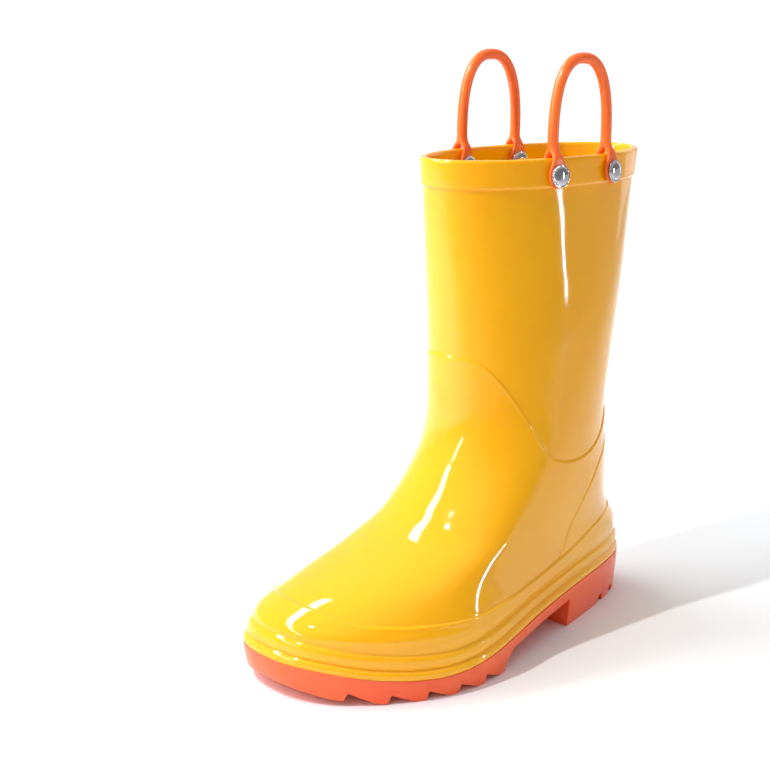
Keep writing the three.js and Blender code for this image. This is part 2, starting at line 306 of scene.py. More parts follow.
upperSizes = {
    "columns": 430,
    "wall": 2.4,
    "bottom": 3,
    "bandHeight": 12,
    "bandProud": 0.8,
    "footRows": 92,        # between the mudguard line and the ankle line
    "shaftRows": 26,
    # welt: rise above the sole line, how far it stands out
    "welt": [
        (0, 2.55), (0.35, 2.82), (0.9, 2.97), (1.6, 3), (2.3, 2.9), (2.9, 2.6), (3.35, 2.2),
        (3.65, 1.75), (3.85, 1.4), (4.05, 1.4), (4.25, 1.65), (4.6, 1.95), (5.3, 2.1), (6.6, 2.12),
        (8, 2.0), (8.8, 1.75), (9.3, 1.4), (9.65, 0.95), (9.9, 0.7), (10.15, 0.72), (10.6, 0.95),
        (11.3, 1.15),
    ],
    # mudguard edge and ankle edge: distance along the surface from the line, how far it stands out
    "mudguard": [
        (-3.2, 1.3), (-2, 1.32), (-1.3, 1.38), (-0.8, 1.38), (-0.45, 1.28), (-0.15, 1.05),
        (0.1, 0.8), (0.35, 0.6), (0.7, 0.5), (1.3, 0.5), (2.4, 0.5),
    ],
    "ankle": [
        (-3.2, 0.5), (-2, 0.52), (-1.2, 0.6), (-0.7, 0.6), (-0.3, 0.45), (0, 0.25), (0.3, 0.08),
        (0.6, 0), (1.1, 0), (2.2, 0),
    ],
    "mudguardBulge": 0.35,
    "counterProud": 0.32,
    "counterLine": 0.9,    # width of its edge
}
# mudguard edge seen from the side
mudLine = [
    (-96, 36.4), (-91, 35.2), (-84, 32.6), (-74, 31.3), (-55, 30.2), (-34, 29.6), (-18, 30.6),
    (0, 32.2), (18, 34.4), (36, 37.2), (52, 40.2), (68, 42.8), (98, 45.5),
]
# edges of the ankle panel and of the heel counter, by angle from the front, in degrees
ankleLine = [
    (0, 127.8), (14, 127.4), (27, 125.8), (36, 122), (44, 116), (54, 107), (66, 96.4), (77, 88.6),
    (88, 83.4), (99, 80), (110, 79.4), (122, 82.2), (134, 88.6), (148, 96.5), (164, 101.5),
    (180, 103),
]
counterLine = [
    (114, 30), (117, 40.5), (121, 55), (125, 62.5), (130, 69.8), (139, 77), (150, 82), (164, 85.2),
    (180, 86.2),
]
mudAt, ankleAt, counterAt = (curveThrough(line) for line in (mudLine, ankleLine, counterLine))


def fromFront(angle):
    # degrees from the front of the boot, the same on both sides
    turn = np.degrees(angle) % 360
    return 180 - np.abs(np.abs(turn - 270) - 180)


def levelOn(line, angle):
    # height where a line drawn in side view crosses each column
    low, high = np.full(angle.shape, 2.0), np.full(angle.shape, 70.0)
    for _ in range(40):
        between = (low + high) / 2
        under = between < line(skin(between, angle)[..., 1])
        low, high = np.where(under, between, low), np.where(under, high, between)
    return (low + high) / 2


def climbAt(height, angle):
    # mm of surface for each mm of height
    return np.linalg.norm(skin(height + 0.5, angle) - skin(height - 0.5, angle), axis=-1)


def counterRise(height, angle):
    # the heel counter stands a little proud behind and below its edge
    turn = fromFront(angle)
    slope = (counterAt(turn + 0.5) - counterAt(turn - 0.5)) / 1.05
    inside = (counterAt(turn) - height) / np.sqrt(1 + slope ** 2)
    edge = upperSizes["counterLine"]
    groove = 0.16 * np.exp(-((inside + 0.6) / 0.7) ** 2)
    raised = upperSizes["counterProud"] * ease(inside, -edge / 2, edge / 2) - groove
    return raised * ease(turn, 112, 117)


def capRings(ring, rise, shares):
    # closes a ring along the sole line, towards its middle
    for share in shares:
        flat = heart + (ring[:, :2] - heart) * share
        yield np.column_stack([flat, soleAt(flat[:, 1]) + rise])


def makeUpper():
    sizes = upperSizes
    wing = lambda a: 1 + 0.9 * np.exp(-((fromFront(a) - 128) / 14) ** 2)
    angle = spreadAngles(sizes["columns"], wing)
    sole = levelOn(soleAt, angle)
    mud = levelOn(mudAt, angle)
    ankle = ankleAt(fromFront(angle))
    mudClimb, ankleClimb = climbAt(mud, angle), climbAt(ankle, angle)
    rings = []

    def ring(height, out):
        height = np.broadcast_to(np.asarray(height, float), angle.shape)
        rings.append(skinOut(height, angle, np.broadcast_to(out, angle.shape)))

    for rise, out in sizes["welt"]:
        ring(sole + rise, out)
    weltTop = sole + sizes["welt"][-1][0]
    mudStart = mud + sizes["mudguard"][0][0] / mudClimb
    for share in np.linspace(0, 1, 9)[1:-1]:
        out = 1.15 + 0.15 * share + sizes["mudguardBulge"] * math.sin(math.pi * share)
        ring(weltTop + (mudStart - weltTop) * share, out)
    for along, out in sizes["mudguard"]:
        height = mud + along / mudClimb
        above = min(max(along / 0.7, 0), 1)
        ring(height, out + above * counterRise(height, angle))
    start = mud + sizes["mudguard"][-1][0] / mudClimb
    end = ankle + sizes["ankle"][0][0] / ankleClimb
    # rows at even steps along each column's own surface
    fine = np.linspace(0, 1, 121)[:, None]
    heights = start + (end - start) * fine
    path = np.linalg.norm(np.diff(skin(heights, angle[None, :]), axis=0), axis=2)
    path = np.vstack([np.zeros_like(path[:1]), np.cumsum(path, axis=0)])
    for share in np.linspace(0, 1, sizes["footRows"] + 2)[1:-1]:
        height = np.array([np.interp(share * path[-1, k], path[:, k], heights[:, k])
                           for k in range(len(angle))])
        ring(height, 0.5 + counterRise(height, angle))
    for along, out in sizes["ankle"]:
        height = ankle + along / ankleClimb
        below = min(max(-along / 0.7, 0), 1)
        ring(height, out + below * counterRise(height, angle))
    start = ankle + sizes["ankle"][-1][0] / ankleClimb
    band = rim - sizes["bandHeight"]
    for share in np.linspace(0, 1, sizes["shaftRows"] + 2)[1:-1]:
        ring(start + (band - 1.2 - start) * share, 0)
    proud, wall = sizes["bandProud"], sizes["wall"]
    for height, out in [
        (band - 0.8, 0), (band - 0.35, 0.02), (band - 0.1, 0.15), (band + 0.05, 0.4),
        (band + 0.2, 0.65), (band + 0.5, 0.8), (band + 1.2, 0.85), (band + 4, 0.83),
        (rim - 4, proud), (rim - 1.6, proud), (rim - 0.9, 0.72), (rim - 0.4, 0.5),
        (rim - 0.1, 0.15), (rim, -0.3),
        (rim, -1.3), (rim - 0.1, -1.75), (rim - 0.4, -2.1), (rim - 0.9, -2.32), (rim - 1.6, -wall),
        (rim - 5, -wall), (band - 6, -wall),
    ]:
        ring(height, out)
    floorLevel = sole + sizes["bottom"]
    for share in np.linspace(0, 1, 20)[1:] ** 1.25:
        ring(band - 6 + (floorLevel - band + 6) * share, -wall)
    shares = (0.82, 0.6, 0.35, 0.12, 0)
    inner = list(capRings(rings[-1], sizes["bottom"], shares))
    outer = list(capRings(rings[0], 0, shares))
    upper = rolledGrid("upperShell", np.array(outer[::-1] + rings + inner))
    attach(upper, "boot")
    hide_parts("upper")
    return upper


upper = makeUpper()
print("upper made:", len(upper.data.polygons), "faces")

soleSizes = {
    "proud": 3,
    "gap": 0.3,
    "heelBreast": 37.8,
    "waist": 5,
    "lugs": 6,
    "pitch": 14.5,
    "firstLug": -17.2,
    "lugFlat": 4,
    "lugDepth": 3.8,
    "toeSpring": 5.5,
    "slot": 3.5,
    "draft": 1.2,          # how far the side walls draw in at the ground
    "bevel": 0.45,
    "columns": 220,
}


def soleProfile():
    # side view of the underside, heel to toe, then the sole line back to the heel
    sizes = soleSizes
    lift = lambda y: sizes["toeSpring"] * min(max((toe + 33 - y) / 36, 0), 1.3) ** 1.7
    waist = lambda y: float(soleAt(y)) - sizes["gap"] - sizes["waist"]
    slot, breast = sizes["slot"], sizes["heelBreast"]
    points = [(heel + 12, 0)]
    for y in (heel - 13, heel - 26):
        points += [(y + slot, 0), (y + slot, slot), (y, slot), (y - slot / 2, 0)]
    points += [(breast, 0), (breast, waist(breast))]
    for share in (0.85, 0.7, 0.55, 0.4, 0.25, 0.1):
        y = sizes["firstLug"] + share * (breast - sizes["firstLug"])
        points.append((y, waist(y)))
    for k in range(sizes["lugs"]):
        y = sizes["firstLug"] - k * sizes["pitch"]
        points += [(y, lift(y) + sizes["lugDepth"]), (y - 1, lift(y - 1))]
        points.append((y - 1 - sizes["lugFlat"], lift(y - 1 - sizes["lugFlat"])))
    tip = toe - 12
    points.append((tip, lift(tip) + 2))
    points += [(y, float(soleAt(y)) - sizes["gap"]) for y in np.linspace(tip, heel + 12, 60)]
    return points


def makeOutsole():
    sizes = soleSizes
    bm = bmesh.new()
    face = bm.faces.new([bm.verts.new((-0.06, y * mm, z * mm)) for y, z in soleProfile()])
    grown = bmesh.ops.extrude_face_region(bm, geom=[face])["geom"]
    grown = [v for v in grown if isinstance(v, bmesh.types.BMVert)]
    bmesh.ops.translate(bm, verts=grown, vec=(0.12, 0, 0))
    bmesh.ops.recalc_face_normals(bm, faces=bm.faces)
    outsole = finishMesh(bm, "outsoleTread")
    angle = spreadAngles(sizes["columns"])
    rings = []
    for height in (-2, 0, 4, 8, 12, 16, 20, 24):
        out = sizes["proud"] - sizes["draft"] * max(0, 1 - height / 14)
        rings.append(skinOut(np.full(angle.shape, float(height)), angle, np.full(angle.shape, out)))
    close = [np.column_stack([np.tile(heart, (len(angle), 1)), np.full(len(angle), z)])
             for z in (-2.0, 24.0)]
    plan = rolledGrid("outsolePlan", np.array([close[0]] + rings + [close[1]]))
    cut = outsole.modifiers.new("plan", "BOOLEAN")
    cut.operation, cut.solver, cut.object = "INTERSECT", "EXACT", plan
    applyModifiers(outsole)
    bpy.data.objects.remove(plan)
    bm = bmesh.new()
    bm.from_mesh(outsole.data)
    bmesh.ops.remove_doubles(bm, verts=bm.verts, dist=2e-6)
    bmesh.ops.dissolve_limit(bm, angle_limit=math.radians(1.2), verts=bm.verts, edges=bm.edges)
    edges = [e for e in bm.edges if e.is_manifold and e.calc_face_angle(0) > math.radians(32)]
    bmesh.ops.bevel(bm, geom=edges, offset=sizes["bevel"] * mm, offset_type="OFFSET", segments=2,
                    profile=0.5, affect="EDGES", material=-1, clamp_overlap=True,
                    harden_normals=False)
    bmesh.ops.triangulate(bm, faces=[f for f in bm.faces if len(f.verts) > 4])
    bpy.data.meshes.remove(outsole.data)
    outsole = finishMesh(bm, "outsoleTread", 30)
    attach(outsole, "boot")
    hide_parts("outsole")
    return outsole


outsole = makeOutsole()
print("outsole made:", len(outsole.data.polygons), "faces")

rivetSizes = {
    "spacing": 34.4,
    "drop": 7.6,
    "cap": 9.6,
    "capHeight": 1.7,
    "rim": 0.75,
    "shank": 3.6,
    "bore": 2.4,
    "pin": 1.8,
    "seat": 4.3,           # underside of the cap from the middle of the collar
}
handleSizes = {
    "cord": 4.8,
    "rise": 33.3,          # top of the loop above the hinge
    "power": 2.5,
    "hinge": 14.9,         # above the rivet
    "blendBelow": 3.5,
    "blendAbove": 13,
    "voxel": 0.36,
    # prong: above the rivet, distance from the middle of the collar, half width, half thickness
    "prong": [
        (13.4, 0, 2.35, 2.35), (12, 0, 2.4, 2.45), (11, 0.35, 2.4, 2.3), (10, 1.2, 2.42, 1.8),
        (9, 2.05, 2.5, 1.4), (8, 2.7, 2.62, 1.12), (6.9, 3.05, 2.85, 0.95), (5.7, 3.1, 3.3, 0.9),
        (4.4, 3.1, 4, 0.9), (3, 3.1, 4.75, 0.9), (1.5, 3.1, 5.2, 0.9), (0, 3.1, 5.3, 0.9),
        (-1.5, 3.1, 5.1, 0.9), (-3, 3.1, 4.4, 0.9), (-4.2, 3.1, 3.3, 0.9), (-4.9, 3.1, 2.1, 0.86),
        (-5.3, 3.1, 0.8, 0.7),
    ],
}


def rivetFrame(side, end):
    # matrix of a rivet spot, in mm: x along the collar, y up, z out through the collar
    y = middle + end * rivetSizes["spacing"] / 2
    height = rim - rivetSizes["drop"]
    front, back, widest, _, power, _ = sectionAt(height)
    reach = back - widest if y > widest else widest - front
    turn = math.asin(math.copysign((abs(y - widest) / reach) ** (power / 2), y - widest))
    angle = np.array(turn if side > 0 else math.pi - turn)
    out = Vector(skinOut(height, angle, 1.0) - skinOut(height, angle, -1.0)).normalized()
    beside = Vector((0, 0, 1)).cross(out).normalized()
    up = out.cross(beside)
    wallMiddle = -(upperSizes["wall"] - upperSizes["bandProud"]) / 2
    place = Matrix.Translation(Vector(skinOut(height, angle, wallMiddle)))
    return place @ Matrix((beside, up, out)).transposed().to_4x4()


def turned(name, profile, matrix):
    # a profile of (radius, place along the axis) spun round the rivet's axis
    bm = bmesh.new()
    verts = [bm.verts.new((r, 0, z)) for r, z in profile]
    edges = [bm.edges.new(pair) for pair in zip(verts, verts[1:])]
    bmesh.ops.spin(bm, geom=verts + edges, cent=(0, 0, 0), axis=(0, 0, 1), angle=2 * math.pi,
                   steps=48, use_merge=True)
    bmesh.ops.remove_doubles(bm, verts=bm.verts, dist=1e-4)
    bmesh.ops.recalc_face_normals(bm, faces=bm.faces)
    bmesh.ops.transform(bm, matrix=Matrix.Scale(mm, 4) @ matrix, verts=bm.verts)
    return finishMesh(bm, name, 40)


def domeProfile():
    # flat underside, rolled rim, shallow gutter, crowned middle
    radius, rimSize = rivetSizes["cap"] / 2, rivetSizes["rim"]
    points = [(radius - 0.12, 0)]
    for k in range(1, 9):
        a = math.pi * k / 8
        points.append((radius - rimSize / 2 * (1 - math.sin(a)), rimSize / 2 * (1 - math.cos(a))))
    inner, gutter = radius - rimSize * 1.1, rimSize * 0.84
    points.append((inner + 0.05, rimSize * 0.86))
    for k in range(13):
        a = math.pi / 2 * k / 12
        rise = (rivetSizes["capHeight"] - gutter) * math.sin(a)
        points.append((inner * math.cos(a), gutter + rise))
    return points[:-1] + [(0, rivetSizes["capHeight"])]


def makeRivets():
    made = []
    seat = rivetSizes["seat"]
    for sideName, side in (("lateral", 1), ("medial", -1)):
        for endName, end in (("front", -1), ("rear", 1)):
            spot = rivetFrame(side, end)
            shank, bore, pin = (rivetSizes[key] / 2 for key in ("shank", "bore", "pin"))
            cap = [(0, -0.5), (bore, -0.5), (bore, -8), (shank, -8), (shank, 0)] + domeProfile()
            post = [(0, -5), (pin, -5), (pin, 0)] + domeProfile()
            seated = spot @ Matrix.Translation((0, 0, seat))
            outer = turned(f"rivetCap_{sideName}_{endName}", cap, seated)
            flip = Matrix.Translation((0, 0, -seat)) @ Matrix.Rotation(math.pi, 4, "X")
            inner = turned(f"rivetPost_{sideName}_{endName}", post, spot @ flip)
            for piece, node in ((outer, "cap"), (inner, "post")):
                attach(piece, "boot")
                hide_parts(f"rivet_{sideName}_{endName}_{node}")
                made.append(piece)
    return made


def tubeRings(path, normals, sizesAt, columns):
    # rings of an elliptic tube: centre, two half axes as vectors
    turn = np.linspace(0, 2 * math.pi, columns + 1)
    rings = []
    for centre, (first, second), (a, b) in zip(path, normals, sizesAt):
        rings.append(np.array(centre) + np.outer(np.cos(turn), np.array(first) * a)
                     + np.outer(np.sin(turn), np.array(second) * b))
    rings = [np.tile(path[0], (columns + 1, 1))] + rings + [np.tile(path[-1], (columns + 1, 1))]
    return np.array(rings)


def makeHandle(sideName, side):
    sizes = handleSizes
    spots = [rivetFrame(side, end) for end in (-1, 1)]
    hinge = sum((spot @ Vector((0, sizes["hinge"], 0)) for spot in spots), Vector()) / 2
    ends = [spot @ Vector((0, 11, 0)) for spot in spots]
    arch = []
    for k in range(61):
        a = math.pi * k / 60
        across = math.cos(a)
        y = -rivetSizes["spacing"] / 2 * math.copysign(abs(across) ** (2 / sizes["power"]), across)
        arch.append(hinge + Vector((0, y, sizes["rise"] * math.sin(a) ** (2 / sizes["power"]))))
    path = [np.array(point) for point in [ends[0]] + arch + [ends[1]]]
    # even steps along the cord, and a ring square to it at each
    path = np.array(path)
    length = np.concatenate([[0], np.cumsum(np.linalg.norm(np.diff(path, axis=0), axis=1))])
    even = np.linspace(0, length[-1], 130)
    path = np.column_stack([np.interp(even, length, path[:, k]) for k in range(3)])
    for _ in range(3):
        path[1:-1] = (path[:-2] + 2 * path[1:-1] + path[2:]) / 4
    heading = np.gradient(path, axis=0)
    heading /= np.linalg.norm(heading, axis=1, keepdims=True)
    sideways = np.array([1.0, 0, 0])
    normals = []
    for way in heading:
        first = sideways - way * (sideways @ way)
        first /= np.linalg.norm(first)
        normals.append((first, np.cross(way, first)))
    r = sizes["cord"] / 2
    parts = [rolledGrid("cord", tubeRings(path, normals, [(r, r)] * len(path), 32))]
    for spot in spots:
        beside, up, out = (Vector(spot.col[k][:3]) for k in range(3))
        for way in (1, -1):
            centres = [np.array(spot @ Vector((0, high, way * off)))
                       for high, off, _, _ in sizes["prong"]]
            axes = [(beside, out)] * len(centres)
            halves = [(w, t) for _, _, w, t in sizes["prong"]]
            parts.append(rolledGrid("prong", roundedRings(centres, axes, halves, 40)))
    handle = joined(f"handle_{sideName}_moulding", parts)
    fuse = handle.modifiers.new("fuse", "REMESH")
    fuse.mode, fuse.voxel_size, fuse.use_smooth_shade = "VOXEL", sizes["voxel"] * mm, True
    even = handle.modifiers.new("even", "SMOOTH")
    even.factor, even.iterations = 0.5, 6
    applyModifiers(handle)
    for face in handle.data.polygons:
        face.use_smooth = True
    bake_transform(handle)
    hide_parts(f"handle_{sideName}_loop", f"handle_{sideName}_fork_front",
                f"handle_{sideName}_fork_rear")
    return handle


def roundedRings(centres, axes, halves, columns):
    # like tubeRings, but flat tabs keep square-ish edges
    turn = np.linspace(0, 2 * math.pi, columns + 1)
    rings = []
    for centre, (first, second), (a, b) in zip(centres, axes, halves):
        power = 2 / (2 + 2.5 * max(0, min(1, a / b / 2 - 0.6)))
        c, s = np.cos(turn), np.sin(turn)
        rings.append(centre + np.outer(np.sign(c) * np.abs(c) ** power, np.array(first) * a)
                     + np.outer(np.sign(s) * np.abs(s) ** power, np.array(second) * b))
    return np.array([np.tile(centres[0], (columns + 1, 1))] + rings
                    + [np.tile(centres[-1], (columns + 1, 1))])


def joined(name, parts):
    bm = bmesh.new()
    for part in parts:
        bm.from_mesh(part.data)
        mesh = part.data
        bpy.data.objects.remove(part)
        bpy.data.meshes.remove(mesh)
    return finishMesh(bm, name)


rivets = makeRivets()
handles = [makeHandle("lateral", 1), makeHandle("medial", -1)]
print("handles made:", [len(h.data.polygons) for h in handles], "faces")

liningSizes = {
    "inset": 2.7,
    "knit": 1,
    "top": 195.5,
    "low": 5.1,            # above the sole line
    "hem": 7,
    "columns": 180,
    "footbedInset": 4.0,
    "foamLow": 5.1,
    "foam": 4,
    "coverLow": 9.4,
    "cover": 0.8,
}


def makeLining():
    sizes = liningSizes
    angle = spreadAngles(sizes["columns"])
    sole = levelOn(soleAt, angle)
    low, top = sole + sizes["low"] + 1.0, sizes["top"]
    outer, inner = -sizes["inset"], -sizes["inset"] - sizes["knit"]
    rings = []

    def ring(height, out):
        height = np.broadcast_to(np.asarray(height, float), angle.shape)
        rings.append(skinOut(height, angle, np.broadcast_to(out, angle.shape)))

    for share in np.linspace(0, 1, 60):
        ring(low + (top - 0.4 - low) * share, outer)
    hemTop = top - sizes["hem"]
    for height, out in [(top - 0.1, outer - 0.2), (top, outer - 0.6), (top - 0.15, inner - 0.15),
                        (top - 0.6, inner - 0.3), (hemTop + 0.8, inner - 0.3),
                        (hemTop + 0.2, inner - 0.12)]:
        ring(height, out)
    for share in np.linspace(0, 1, 50):
        ring(hemTop - 0.4 + (low - hemTop + 0.4) * share, inner)
    rings.append(rings[0])
    lining = rolledGrid("liningSock", np.array(rings))
    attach(lining, "boot")
    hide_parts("lining")
    return lining


def footbedLayer(name, low, thick, edge, columns=200):
    # a layer that follows the sole line, its rim rounded by edge
    sizes = liningSizes
    angle = spreadAngles(columns)
    sole = levelOn(soleAt, angle)
    rings = []
    for rise, pull in ((0, edge), (edge * 0.3, edge * 0.3), (edge, 0), (thick - edge, 0),
                       (thick - edge * 0.3, edge * 0.3), (thick, edge)):
        height = sole + low + rise
        rings.append(skinOut(height, angle, np.full(angle.shape, -sizes["footbedInset"] - pull)))
        rings[-1][:, 2] = soleAt(rings[-1][:, 1]) + low + rise
    shares = (0.9, 0.75, 0.6, 0.45, 0.3, 0.15, 0)
    under = list(capRings(rings[0], low, shares))
    over = list(capRings(rings[-1], low + thick, shares))
    return rolledGrid(name, np.array(under[::-1] + rings + over))


def makeFootbed():
    sizes = liningSizes
    foam = footbedLayer("footbedFoam", sizes["foamLow"], sizes["foam"], 0.6)
    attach(foam, "boot")
    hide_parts("insole_foam")
    cover = footbedLayer("footbedCover", sizes["coverLow"], sizes["cover"], 0.25)
    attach(cover, "boot")
    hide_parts("insole_cover")
    return foam, cover


lining = makeLining()
foam, cover = makeFootbed()
print("lining and footbed made")


def yellowPvc():
    # flexible PVC from a polished tool: wet gloss, slightly cloudy, light goes in a few mm
    material, tree = newMaterial("yellow PVC, polished mould")
    place = addNode(tree, "ShaderNodeTexCoord").outputs["Object"]
    flow = addNode(tree, "ShaderNodeTexNoise", {"Vector": place, "Scale": per(70), "Detail": 2})
    tone = twoTone(tree, flow.outputs["Fac"], "FFAE02", "FFB604", 0.3, 0.7)
    haze = addNode(tree, "ShaderNodeTexNoise", {"Vector": place, "Scale": per(9), "Detail": 3})
    gloss = addNode(tree, "ShaderNodeMapRange", {"Value": haze.outputs["Fac"], "From Min": 0.3,
                                                 "From Max": 0.7, "To Min": 0.05, "To Max": 0.09})
    wave = addNode(tree, "ShaderNodeTexNoise", {"Vector": place, "Scale": per(22), "Detail": 1})
    peel = addNode(tree, "ShaderNodeTexNoise", {"Vector": place, "Scale": per(1.6), "Detail": 1})
    soft = addNode(tree, "ShaderNodeBump", {"Height": wave.outputs["Fac"], "Strength": 0.35,
                                            "Distance": 0.0006})
    skinBump = addNode(tree, "ShaderNodeBump", {"Height": peel.outputs["Fac"], "Strength": 0.12,
                                                "Distance": 0.00003, "Normal": soft.outputs[0]})
    shade(tree, {
        "Base Color": tone.outputs[0], "Roughness": gloss.outputs[0], "IOR": 1.53,
        "Subsurface Weight": 0.35, "Subsurface Radius": (1.0, 0.5, 0.08), "Subsurface Scale": 0.004,
        "Normal": skinBump.outputs[0],
    })
    return material


def orangePvc(name, deep, pale):
    # the same PVC in orange, from a finely blasted tool: satin gloss
    material, tree = newMaterial(name)
    place = addNode(tree, "ShaderNodeTexCoord").outputs["Object"]
    flow = addNode(tree, "ShaderNodeTexNoise", {"Vector": place, "Scale": per(40), "Detail": 2})
    tone = twoTone(tree, flow.outputs["Fac"], deep, pale, 0.3, 0.7)
    grain = addNode(tree, "ShaderNodeTexNoise", {"Vector": place, "Scale": per(0.8), "Detail": 2})
    gloss = addNode(tree, "ShaderNodeMapRange", {"Value": flow.outputs["Fac"], "From Min": 0.3,
                                                 "From Max": 0.7, "To Min": 0.26, "To Max": 0.34})
    blast = addNode(tree, "ShaderNodeBump", {"Height": grain.outputs["Fac"], "Strength": 0.2,
                                             "Distance": 0.00008})
    shade(tree, {
        "Base Color": tone.outputs[0], "Roughness": gloss.outputs[0], "IOR": 1.52,
        "Subsurface Weight": 0.25, "Subsurface Radius": (1.0, 0.3, 0.12), "Subsurface Scale": 0.003,
        "Normal": blast.outputs[0],
    })
    return material


def chromePlate():
    # decorative chrome on pressed brass: a mirror with faint polishing marks
    material, tree = newMaterial("chrome plate, polished")
    place = addNode(tree, "ShaderNodeTexCoord").outputs["Object"]
    marks = addNode(tree, "ShaderNodeTexNoise", {"Vector": place, "Scale": per(1.2), "Detail": 4})
    gloss = addNode(tree, "ShaderNodeMapRange", {"Value": marks.outputs["Fac"], "From Min": 0.3,
                                                 "From Max": 0.7, "To Min": 0.03, "To Max": 0.07})
    shade(tree, {"Base Color": linear("C4C2C8"), "Metallic": 1, "Roughness": gloss.outputs[0]})
    return material


def cottonJersey():
    # brushed cotton jersey: wales about 1.4 mm apart, each a column of small vees
    material, tree = newMaterial("cotton jersey, brushed")
    place = addNode(tree, "ShaderNodeTexCoord").outputs["UV"]
    wales = addNode(tree, "ShaderNodeTexWave", {"Vector": place, "Scale": per(1.4) / 6.2832 * 2,
                                                "Distortion": 0.6, "Detail Scale": per(4) / 100},
                    {"bands_direction": "X"})
    rows = addNode(tree, "ShaderNodeTexWave", {"Vector": place, "Scale": per(1.1) / 6.2832 * 2,
                                               "Distortion": 0.6, "Detail Scale": per(4) / 100},
                   {"bands_direction": "Y"})
    knit = addNode(tree, "ShaderNodeMath", {0: wales.outputs["Fac"], 1: rows.outputs["Fac"]},
                   {"operation": "MULTIPLY"})
    fuzz = addNode(tree, "ShaderNodeTexNoise", {"Vector": place, "Scale": per(2.5), "Detail": 5})
    tone = addNode(tree, "ShaderNodeMix", {"Factor": fuzz.outputs["Fac"], 6: linear("E4D9C2"),
                                           7: linear("F3ECDC")}, {"data_type": "RGBA"})
    bump = addNode(tree, "ShaderNodeBump", {"Height": knit.outputs[0], "Strength": 0.7,
                                            "Distance": 0.0003})
    shade(tree, {"Base Color": tone.outputs[2], "Roughness": 0.92, "Sheen Weight": 0.35,
                 "Sheen Roughness": 0.6, "Normal": bump.outputs[0]})
    return material


def needleFelt():
    # grey needle felt: random short fibres, no weave
    material, tree = newMaterial("needle felt")
    place = addNode(tree, "ShaderNodeTexCoord").outputs["Object"]
    fibres = addNode(tree, "ShaderNodeTexNoise", {"Vector": place, "Scale": per(1), "Detail": 8,
                                                  "Distortion": 2})
    tone = twoTone(tree, fibres.outputs["Fac"], "A59F94", "CBC6BC")
    bump = addNode(tree, "ShaderNodeBump", {"Height": fibres.outputs["Fac"], "Strength": 0.6,
                                            "Distance": 0.0003})
    shade(tree, {"Base Color": tone.outputs[0], "Roughness": 0.95, "Normal": bump.outputs[0]})
    return material


def evaFoam():
    # closed-cell EVA foam, split from a block: fine cut cells about 0.6 mm across
    material, tree = newMaterial("EVA foam, split")
    place = addNode(tree, "ShaderNodeTexCoord").outputs["Object"]
    cells = addNode(tree, "ShaderNodeTexVoronoi", {"Vector": place, "Scale": per(0.6)})
    tone = twoTone(tree, cells.outputs["Distance"], "EFEBDD", "DDD7C6")
    bump = addNode(tree, "ShaderNodeBump", {"Height": cells.outputs["Distance"], "Strength": 0.5,
                                            "Distance": 0.0002})
    shade(tree, {"Base Color": tone.outputs[0], "Roughness": 0.8, "Normal": bump.outputs[0]})
    return material


def wovenCotton():
    # plain-woven cotton on the footbed, threads 0.9 mm apart: coarser than real, so they show
    material, tree = newMaterial("cotton cloth, woven")
    place = addNode(tree, "ShaderNodeTexCoord").outputs["Object"]
    warp = addNode(tree, "ShaderNodeTexWave", {"Vector": place, "Scale": per(0.9) / 6.2832 * 2,
                                               "Distortion": 0.3}, {"bands_direction": "X"})
    weft = addNode(tree, "ShaderNodeTexWave", {"Vector": place, "Scale": per(0.9) / 6.2832 * 2,
                                               "Distortion": 0.3}, {"bands_direction": "Y"})
    weave = addNode(tree, "ShaderNodeMath", {0: warp.outputs["Fac"], 1: weft.outputs["Fac"]},
                    {"operation": "MAXIMUM"})
    slub = addNode(tree, "ShaderNodeTexNoise", {"Vector": place, "Scale": per(6), "Detail": 5})
    tone = twoTone(tree, slub.outputs["Fac"], "CFC7B5", "E2DCCD", 0.3, 0.7)
    bump = addNode(tree, "ShaderNodeBump", {"Height": weave.outputs[0], "Strength": 0.6,
                                            "Distance": 0.0002})
    shade(tree, {"Base Color": tone.outputs[0], "Roughness": 0.9, "Sheen Weight": 0.2,
                 "Normal": bump.outputs[0]})
    return material


